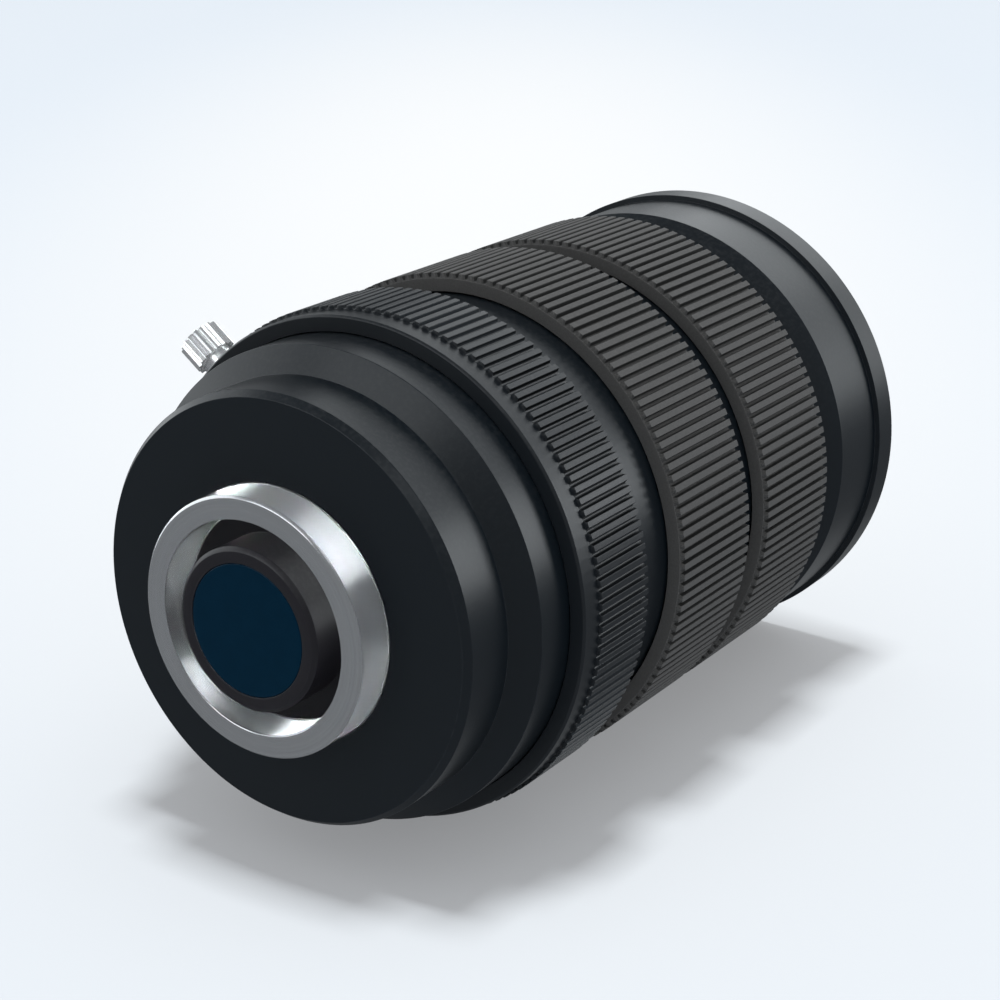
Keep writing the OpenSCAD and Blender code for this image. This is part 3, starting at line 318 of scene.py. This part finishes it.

# Relay cell and its glass. A stepped tube, anodised a purplish black, slides in the camera-thread
# ring and is held by three set screws. Its rear element is flat and drawn as opaque glass painted a
# deep blue: painted shade for the dark inside of the lens and a painted reflection of its coating.
# The other elements, spacer and keeper ring are screwed in from the front.
relay_cell = turn("relay_cell_turned", [
    (6.5, -4.66), (7.6, -4.66), (8, -4.26), (8, 0), (10.35, 0), (10.35, 11.9), (8.9, 11.9),
    (8.9, 6.2), (7.9, 6.2), (7.9, 1.2), (6.6, 1.2), (6.6, -1.3), (5.9, -1.3), (5.9, -1.9),
    (6.5, -1.9)], rounding=0.05)
fit(relay_cell, "barrel", "inner_black",
    anodised("relay_cell_black", colour=(0.0118, 0.0105, 0.0145), gloss=0.36, wear=0.35),
    "relay_cell")


def lens_blank(name, radius, rear, front, rear_curve, front_curve, steps=128):
    """Ground glass between two vertices: a positive curve is a dome, a negative one a hollow, 0
    a flat. Only its rim's corners are rounded"""
    def depth(r, curve):
        if curve == 0:
            return 0
        return math.copysign(abs(curve) - math.sqrt(curve * curve - r * r), curve)
    zones = 16
    radii = [radius * k / zones for k in range(zones + 1)]
    outline = [(r, rear + depth(r, rear_curve)) for r in radii]
    outline += [(r, front - depth(r, front_curve)) for r in reversed(radii)]
    return turn(name, outline, 0.15, steps, lambda at: at.x > (radius - 0.01) * MM)


def glass(name, colour, clear, film, index=1.6):
    """Coated optical glass, with a trace of dust and wiping in its polish; film is the coating's
    thickness in nanometres"""
    material, tree = blank_material(name)
    speckle = apply_effect(tree, "fine_grain", Size=1.4)
    settled = apply_effect(tree, "settled_dust", Amount=0.05)
    base = tint(tree, speckle, rgba(colour, 0.9), rgba(colour, 1.1))
    base = tint(tree, settled, base, (0.5, 0.5, 0.5, 1))
    shade(tree, {"Base Color": base, "Roughness": ramp(tree, speckle, 0.4, 0.75, 0.02, 0.07),
                 "Transmission Weight": clear, "IOR": index, "Thin Film Thickness": film,
                 "Thin Film IOR": 1.38})
    return material


# Opaque and painted dark blue: painted shade from the lens's dark inside and a painted reflection of
# its coating
rear_element = lens_blank("rear_element_ground", 6.48, -4.64, -1.07, 0, 20)
fit(rear_element, "barrel", "rear_glass",
    glass("rear_glass_painted_blue", (0.0009, 0.0135, 0.0285), 0.0, 0.0, 1.2), "rear_element")
clear_glass = glass("inner_coated_glass", (0.93, 0.96, 0.95), 1.0, 96.0)
dress(clear_glass, "relay_crown", "relay_flint", "relay_front_element")
inner_black = anodised("inner_matt_black", colour=(0.006, 0.006, 0.0065), gloss=0.62)
dress(inner_black, "relay_spacer", "relay_retaining_ring")

# Main barrel. The long aluminium tube that everything else runs on, anodised black like the
# housing; it shows as plain bands between the rings. The guide tube is screwed inside it, and
# a keeper ring holds the cam tube on that.
barrel_black = anodised("barrel_black", wear=0.3)
dress(barrel_black, "main_barrel")
dress(inner_black, "guide_tube", "cam_keeper_ring")

# Iris. A shallow cup and a cover hold six thin blued-steel blades; a brass rotor, driven by one
# screw through the barrel from the iris ring, swings them. The ring is anodised aluminium with
# a plain border and 144 milled ribs, and it has holes for the lock screw and the drive screw.
RIBS = 144
RIB_TOP = 25.9
IRIS_FROM, IRIS_TO = 12.55, 23.25
LOCK_PLACE = 17.8
LOCK_WAY = Vector((-0.795473, 0, 0.605988))
DRIVE_PLACE = 19.25
DRIVE_CLOCK = 200

# Painted shade on the sides of the ribs of a ring, darkened as if in the shadow of the grooves:
# none on the crests, which lie at Crest millimetres, nor on the floors Depth below them, nor on
# the plain border behind From
tree, given, put = effect("painted_rib_side_shade", {"Crest": RIB_TOP, "Depth": 0.4, "From": 15.0}, "Side")
place = spot(tree)
below = sums(tree, "SUBTRACT", given["Crest"], sums(tree, "MULTIPLY", off_axis(tree, place), 1 / MM))
sunk = sums(tree, "DIVIDE", below, given["Depth"], use_clamp=True)
shaded_side = sums(tree, "MULTIPLY", ramp(tree, sunk, 0.1, 0.25), ramp(tree, sunk, 0.95, 0.8))
along = sums(tree, "MULTIPLY", along_axis(tree, place), 1 / MM)
put(sums(tree, "MULTIPLY", shaded_side, sums(tree, "GREATER_THAN", along, given["From"])))


def ribbed_band(name, outline, rib_from, rib_to, foot, height, crest, soft):
    """A turned ring with ribs along it: one pitch is spun, its rib raised, and it is copied all
    round. foot and crest are a rib's width below and on top, as shares of the pitch"""
    pitch = 2 * math.pi / RIBS
    piece = half_section(name, outline, 0.06, lambda at: True)
    valley = max(r for r, y in outline) * MM
    bpy.ops.mesh.spin(steps=1, angle=pitch * foot, center=CENTRE, axis=AXIS)
    pick("faces", lambda at: (rib_from * MM < at.y < rib_to * MM
                              and Vector((at.x, at.z)).length > valley - 0.03 * MM))
    shape = bmesh.from_edit_mesh(piece.data)
    centre = next(face for face in shape.faces if face.select).calc_center_median()
    outwards = Vector((centre.x, 0, centre.z)).normalized()
    rise = outwards * height * MM
    share = crest / foot
    bpy.ops.mesh.extrude_region_move(TRANSFORM_OT_translate={"value": rise})
    bpy.ops.transform.resize(value=(share, 1, share), center_override=centre + rise)
    crown = valley + 0.9 * height * MM
    pick("edges", lambda at: Vector((at.x, at.z)).length > crown)
    bpy.ops.mesh.bevel(offset=soft * MM, segments=2, affect="EDGES")
    far_side = 2 * math.atan2(outwards.z, outwards.x)
    pick("edges", lambda at: abs(math.atan2(at.z, at.x) - far_side) < 0.01 * pitch)
    bpy.ops.mesh.spin(steps=1, angle=pitch * (1 - foot), center=CENTRE, axis=AXIS)
    bpy.ops.mesh.select_all(action="SELECT")
    bpy.ops.mesh.spin(steps=RIBS - 1, angle=2 * math.pi - pitch, dupli=True, center=CENTRE, axis=AXIS)
    return close_up(piece)


def drill(piece, radius, outwards, place, low, high):
    """Drills a round hole through a wall, outwards from low to high above the optical axis"""
    bpy.ops.object.select_all(action="DESELECT")
    bpy.ops.mesh.primitive_cylinder_add(
        vertices=48, radius=radius * MM, depth=(high - low) * MM,
        location=outwards * (low + high) / 2 * MM + Vector((0, place * MM, 0)),
        rotation=outwards.to_track_quat("Z", "Y").to_euler())
    cutter = bpy.context.object
    bpy.ops.object.select_all(action="DESELECT")
    bpy.context.view_layer.objects.active = piece
    piece.select_set(True)
    bpy.ops.object.modifier_add(type="BOOLEAN")
    hole = piece.modifiers[-1]
    hole.object, hole.operation, hole.solver = cutter, "DIFFERENCE", "EXACT"
    bpy.ops.object.modifier_apply(modifier=hole.name)
    bpy.data.objects.remove(cutter)


def clock(degrees):
    """The direction that points outwards at an angle from straight up, seen from the camera's side"""
    return Vector((math.sin(math.radians(degrees)), 0, math.cos(math.radians(degrees))))


iris_ring = ribbed_band("iris_ring_ribbed", [
    (23.9, IRIS_FROM), (25.3, IRIS_FROM), (25.5, IRIS_FROM + 0.2), (25.5, 15.0), (25.5, IRIS_TO),
    (23.9, IRIS_TO)], 15.0, IRIS_TO, foot=0.76, height=0.4, crest=0.48, soft=0.02)
drill(iris_ring, 0.98, LOCK_WAY, LOCK_PLACE, 23, 27)
drill(iris_ring, 0.95, clock(DRIVE_CLOCK), DRIVE_PLACE, 23, 27)
# The sides of its ribs carry painted shade: darker, and metallic so they take no matt light
fit(iris_ring, "iris_control", "black_anodised",
    anodised("iris_ring_black", colour=(0.0085, 0.0115, 0.0150), gloss=0.36, wear=0.25,
             ribs={"Crest": RIB_TOP, "Depth": 0.4, "From": 15.03}), "iris_ring")
dress(inner_black, "iris_cup", "iris_cover_ring")
brass = skin("rotor_brass", (0.55, 0.38, 0.14), 0.35, metal=1.0, cut=0.6, wear=0.2)
dress(brass, "iris_rotor", "focus_pins", "variator_pins", "compensator_pins")
blued = skin("blade_blued_steel", (0.030, 0.032, 0.040), 0.4, metal=0.75, marks=0.3, cut=0.1,
             grain=0.04, wear=0.15)
dress(blued, *["iris_blade_%d" % number for number in range(1, 7)])

# Lock screw. A small nickel-plated screw with a fluted head stands on the iris ring at the
# camera's upper left; its nylon tip presses on the barrel and stops the ring from turning.
FLUTES = 16
FLUTE_STEPS = 6
HEAD = 2.3
CHAMFER = 0.97


def stand(piece, outwards, radius, place):
    """Sets a piece that was made upright at the origin on its own axis on the barrel"""
    bpy.ops.object.select_all(action="DESELECT")
    bpy.context.view_layer.objects.active = piece
    piece.select_set(True)
    piece.rotation_euler = outwards.to_track_quat("Z", "Y").to_euler()
    piece.location = outwards * radius * MM + Vector((0, place * MM, 0))
    bpy.ops.object.transform_apply(location=True, rotation=True, scale=True)


def flute_step(at):
    """Which of the steps of a flute a point of the head is at"""
    degrees = math.degrees(math.atan2(at.y, at.x))
    return round(degrees * FLUTES * FLUTE_STEPS / 360) % FLUTE_STEPS


def widen(width):
    """Scales what is selected about the upright axis"""
    bpy.ops.transform.resize(value=(width, width, 1), center_override=CENTRE)


def lift(height):
    """Extrudes what is selected upwards, or downwards if height is negative"""
    bpy.ops.mesh.extrude_region_move(TRANSFORM_OT_translate={"value": (0, 0, height * MM)})


bpy.ops.object.select_all(action="DESELECT")
bpy.ops.mesh.primitive_circle_add(
    vertices=FLUTES * FLUTE_STEPS, radius=HEAD * MM, fill_type="NGON", location=CENTRE)
knob = start("lock_screw_fluted")
bpy.ops.transform.translate(value=(0, 0, -0.2 * MM))
for steps, dip in (((3,), 0.36), ((2, 4), 0.26), ((1, 5), 0.08)):
    pick("verts", lambda at: flute_step(at) in steps)
    widen((HEAD - dip) / HEAD)
bpy.ops.mesh.select_all(action="SELECT")
widen(CHAMFER)
for rise, width in ((0.06, 1 / CHAMFER), (2.83, 1), (0.06, CHAMFER)):
    lift(rise)
    widen(width)
bpy.ops.mesh.inset(thickness=0.35 * MM)
lift(-0.12)
widen(0.9)
bpy.ops.mesh.select_all(action="SELECT")
bpy.ops.mesh.normals_make_consistent(inside=False)
bpy.ops.object.mode_set(mode="OBJECT")
bpy.ops.mesh.primitive_cylinder_add(vertices=64, radius=1.6 * MM, depth=0.8 * MM, location=CENTRE)
start("lock_screw_collar")
bpy.ops.transform.translate(value=(0, 0, -0.6 * MM))
pick("faces", lambda at: abs(at.z + 1.0 * MM) < 0.001 * MM)
bpy.ops.mesh.inset(thickness=0.7 * MM)
lift(-2.4)
bpy.ops.object.mode_set(mode="OBJECT")
knob.select_set(True)
bpy.context.view_layer.objects.active = knob
bpy.ops.object.join()
bpy.ops.object.shade_smooth_by_angle(angle=math.radians(12))
stand(knob, LOCK_WAY, 27.9, LOCK_PLACE)
fit(knob, "lock_knob", "bright_knob",
    skin("bright_nickel", (0.84, 0.84, 0.85), 0.2, metal=0.85, tone=0.06, marks=0.2, cut=0.1,
         grain=0.3, relief=0.01, worn=(0.95, 0.95, 0.95), wear=0.4, dust=0.02), "lock_screw")
nylon = skin("nylon_white", (0.68, 0.66, 0.6), 0.5, cut=0.1, grain=0.08)
dress(nylon, "lock_pad")

# Zoom and focus rings. Each is an anodised aluminium ring under a moulded rubber grip with 144
# soft-edged ribs and a lip that covers the ring's rear end. Screws sunk under the grip drive
# the cam tube, or run in a groove of the barrel.
RIB_DEPTH = 0.55
LIP = 0.4


def rubber(name, rear):
    """Ribbed rubber: a neutral dark grey, matt, the crest edges paler from handling, and the sides of
    the ribs painted darker as shade
    """
    return skin(name, (0.077, 0.076, 0.075), 0.62, marks=0.5, cut=0.1, grain=0.16, relief=0.5,
                worn=(0.14, 0.139, 0.137), wear=0.2, dust=0.06,
                ribs={"Crest": RIB_TOP, "Depth": RIB_DEPTH, "From": rear + 0.12},
                plain={"Specular IOR Level": 0.12, "Sheen Weight": 0.04, "Sheen Roughness": 0.5})


for ring, body, rear, length in (("zoom", "zoom_control", 30.2, 13.3),
                                 ("focus", "focus_control", 47.6, 13.7)):
    band = ribbed_band(ring + "_grip_ribbed", [
        (23.98, rear), (25.35, rear), (25.35, rear + length), (24.92, rear + length),
        (24.92, rear + LIP), (23.98, rear + LIP)], rear + 0.07, rear + length - 0.07,
        foot=0.74, height=RIB_DEPTH, crest=0.56, soft=0.03)
    fit(band, body, "grip_rubber", rubber(ring + "_grip_rubber", rear), ring + "_grip")
dress(barrel_black, "zoom_ring", "focus_ring")

# Zoom movement inside. The cam tube is hard-anodised grey, so that its slots wear well, and
# the two cells that it moves are black with their glass held by screwed keeper rings.
cam_grey = skin("cam_hard_grey", (0.22, 0.22, 0.21), 0.36, metal=0.85, cut=0.6, wear=0.4)
dress(cam_grey, "cam_tube")
dress(inner_black, "variator_cell", "variator_retaining_ring", "compensator_cell",
      "compensator_retaining_ring")
dress(clear_glass, "variator_rear_lens", "variator_front_lens", "compensator_lens")

# Front barrel. One black turning that slides on three brass pins: a straight neck, a flare, the
# bell round the front cell, and a slightly wider rim that carries the filter thread inside.
BELL = 25.25
RIM = 25.85
FILTER = 24.5
THREAD_PITCH = 0.65
grooves = []
for number in range(5):
    y = 77.55 - THREAD_PITCH * number
    grooves += [(FILTER, y), (FILTER - 0.3, y - 0.3), (FILTER - 0.3, y - 0.35)]
cell_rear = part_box("front_cell")[0].y / MM
front_barrel = turn("front_barrel_turned", [
    (21.38, 52), (BARREL, 52), (BARREL, 63.9), (BELL, 66.4), (BELL, 74.75), (RIM, 74.75),
    (RIM, 77.95), (RIM - 0.25, 78.2), (24.75, 78.2), (FILTER, 77.95)] + grooves + [
    (FILTER, 74.2), (24.05, 74.2), (24.05, 73.4), (22.55, 73.4), (22.55, cell_rear),
    (21.38, cell_rear)], rounding=0.04, steps=216)
fit(front_barrel, "front_group", "black_anodised",
    anodised("bell_and_rim_black", wear=0.4), "front_barrel")

# Front cell and its glass. The big front element, a spacer and a cemented pair sit in a black
# cell behind a screwed keeper ring; a plain trim ring with two fine grooves covers the keeper.
dress(inner_black, "front_cell", "front_spacer", "front_retaining_ring")
low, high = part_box("front_outer_lens")
front_element = lens_blank("front_element_ground", 20.98, low.y / MM, high.y / MM, 0, 100, steps=192)
fit(front_element, "front_group", "front_glass",
    glass("front_coating", (0.68, 0.75, 0.76), 1.0, 124.0), "front_outer_lens")
dress(clear_glass, "front_rear_lens", "front_middle_lens")
low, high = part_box("front_trim_ring")
inner, outer, rear, face = 20.4, high.x / MM, low.y / MM, high.y / MM
floor_of_groove = face - 0.1
trim_ring = turn("trim_ring_turned", [
    (inner + 0.2, rear), (outer, rear), (outer, face - 0.1), (outer - 0.1, face), (23.2, face),
    (23.15, floor_of_groove), (23.0, floor_of_groove), (22.95, face), (22.0, face),
    (21.95, floor_of_groove), (21.8, floor_of_groove), (21.75, face), (inner + 0.5, face),
    (inner + 0.2, face - 0.3)], rounding=0.025)
fit(trim_ring, "front_group", "black_anodised",
    anodised("trim_satin_black", gloss=0.42, wear=0.3), "front_trim_ring")

# Floor, light and camera. A pale floor, its colour painted whitest in the middle and darker and
# bluer towards its edges, a painted falloff of light, under a lamp that throws the shadow; a soft
# ceiling light, soft boxes whose reflections run along the barrel, and a camera above and to the
# right of the camera thread.
CAMERA_TURN = math.radians(34.1)
bpy.context.scene.view_settings.view_transform = "Standard"
bpy.ops.object.select_all(action="DESELECT")
bpy.ops.mesh.primitive_grid_add(
    x_subdivisions=4, y_subdivisions=4, size=6, location=(0, 0.04, -RIB_TOP * MM))
floor = bpy.context.object
floor.name = "floor"
floor.visible_glossy = floor.visible_transmission = False
paper, tree = blank_material("pale_paper")
# Painted falloff of light: the sheet's colour is whitest near the lens and darker and bluer away from
# it
turned = node(tree, "Mapping", {"Vector": spot(tree), "Rotation": (0, 0, -CAMERA_TURN),
                                "Location": (0, -0.24, 0)}).outputs[0]
stretched = node(tree, "VectorMath", {0: turned, 1: (7, 2.2, 0)}, operation="MULTIPLY").outputs[0]
away = node(tree, "VectorMath", {0: stretched}, operation="LENGTH").outputs["Value"]
edge = ramp(tree, away, 0.1, 1.1, interpolation_type="SMOOTHSTEP")
sheet = tint(tree, edge, (0.26, 0.258, 0.258, 1), (0.218, 0.23, 0.246, 1))
speckle = sums(tree, "MULTIPLY", apply_effect(tree, "fine_grain", Size=2.0), 0.02)
sheet = tint(tree, speckle, sheet, (0.21, 0.21, 0.21, 1))
# The sheet glows a little by itself, so that the shadow is as light near the lens as farther off
shade(tree, {"Base Color": sheet, "Roughness": 0.9, "Specular IOR Level": 0.1,
             "Emission Color": sheet, "Emission Strength": 1.0})
floor.data.materials.append(paper)


def soft_box(name, azimuth, elevation, distance, width, height, glow, seen=True, only=(),
             shaded=False):
    """A rectangle of light that faces the lens, its size and distance in metres; glow is how
    bright its surface looks. A box shows in glossy surfaces if it is seen, and otherwise lights
    matt ones. With pieces in only, it does both to these alone, and nothing shades them unless
    shaded is on"""
    a, e = math.radians(azimuth), math.radians(elevation)
    way = Vector((math.sin(a) * math.cos(e), math.cos(a) * math.cos(e), math.sin(e)))
    light = bpy.data.lights.new(name, "AREA")
    light.shape, light.size, light.size_y = "RECTANGLE", width, height
    light.energy = glow * math.pi * width * height
    light.color = (0.93, 0.975, 1.0)
    lamp = bpy.data.objects.new(name, light)
    lamp.location = Vector((0, 0.037, 0)) + way * distance
    lamp.rotation_euler = way.to_track_quat("Z", "Y").to_euler()
    lamp.visible_glossy, lamp.visible_diffuse = seen, not seen or bool(only)
    lamp.visible_camera = False
    bpy.context.scene.collection.objects.link(lamp)
    if only:
        lit = bpy.data.collections.new(name + "_lights")
        for piece in only:
            lit.objects.link(piece)
        lamp.light_linking.receiver_collection = lit
    if only and not shaded:
        open_air = bpy.data.collections.new(name + "_is_shaded_by")
        open_air.objects.link(lamp)
        lamp.light_linking.blocker_collection = open_air
        light.cycles.use_multiple_importance_sampling = False


soft_box("ceiling_light", 40, 78, 2.0, 1.75, 1.75, 1.12, seen=False)
soft_box("floor_light", 0, 90, 4.0, 0.9, 0.9, 113, seen=False, only=[floor], shaded=True)
soft_box("broad_box", 5, 24, 0.95, 1.3, 0.9, 0.95)
soft_box("high_box", -6, 23, 0.9, 0.56, 0.34, 1.05)
soft_box("long_box", 45, 13, 0.9, 0.22, 0.4, 4.6)
soft_box("rear_box", -160, 35, 0.9, 0.7, 0.36, 1.9)
soft_box("left_box", -95, 20, 0.9, 0.9, 0.7, 1.1)
soft_box("back_box", 131, 49, 0.9, 0.35, 0.35, 0.9)
soft_box("edge_box", -74, -2, 0.9, 0.22, 0.4, 1.3)
soft_box("side_box", -38, 8, 0.9, 0.3, 0.3, 0.4)
soft_box("low_box", -10, -37, 0.9, 0.5, 0.3, 0.22)
# The bright metal and the relay cell mirror these alone, and not their neighbours, as in the photo
soft_box("ring_top_light", 19, 36, 0.9, 0.84, 0.38, 1.2, only=[camera_ring, relay_cell, knob])
soft_box("ring_left_light", -49, -8, 0.9, 0.5, 0.6, 2.6, only=[camera_ring, knob])
soft_box("ring_low_light", 3, -38, 0.9, 1.2, 0.5, 0.26, only=[camera_ring, knob])
soft_box("ring_soft_light", 0, 8, 0.9, 2.0, 1.6, 0.12, only=[camera_ring, relay_cell, knob])
soft_box("cell_light", 40, 6, 0.9, 0.3, 0.4, 2.4, only=[relay_cell])
soft_box("knob_light", 166, 37, 0.9, 1.1, 1.1, 0.7, only=[knob])

# The studio round it all: bright to look at and as fill on matt surfaces, dim in reflections
world = bpy.data.worlds.new("studio")
bpy.context.scene.world = world
world.use_nodes = True
tree = world.node_tree
tree.nodes.clear()


def sky(colour, strength):
    return node(tree, "Background", {"Color": rgba(colour), "Strength": strength}).outputs[0]


ray = node(tree, "LightPath", {}).outputs
dim, fill = sky((0.9, 0.95, 1.0), 0.15), sky((0.965, 0.985, 1.0), 0.95)
lit = node(tree, "MixShader", {0: ray["Is Diffuse Ray"], 1: dim, 2: fill}).outputs[0]
seen = node(tree, "MixShader", {
    0: ray["Is Camera Ray"], 1: lit, 2: sky((0.86, 0.90, 0.94), 1.0)}).outputs[0]
tree.links.new(seen, node(tree, "OutputWorld", {}).inputs[0])

# The camera's axes and place, as fitted to the photo
right = Vector((0.82831, 0.56027, 0))
up = Vector((-0.19220, 0.28415, 0.93932))
forward = Vector((-0.52627, 0.77805, -0.34305))
view = bpy.data.cameras.new("photo_view")
view.sensor_width = 36
view.lens = 78.24
view.clip_start = 0.01
camera = bpy.data.objects.new("photo_view", view)
camera.matrix_world = Matrix.Translation((0.12062, -0.14183, 0.07887)) @ Matrix((
    right, up, -forward)).transposed().to_4x4()
bpy.context.scene.collection.objects.link(camera)
bpy.context.scene.camera = camera
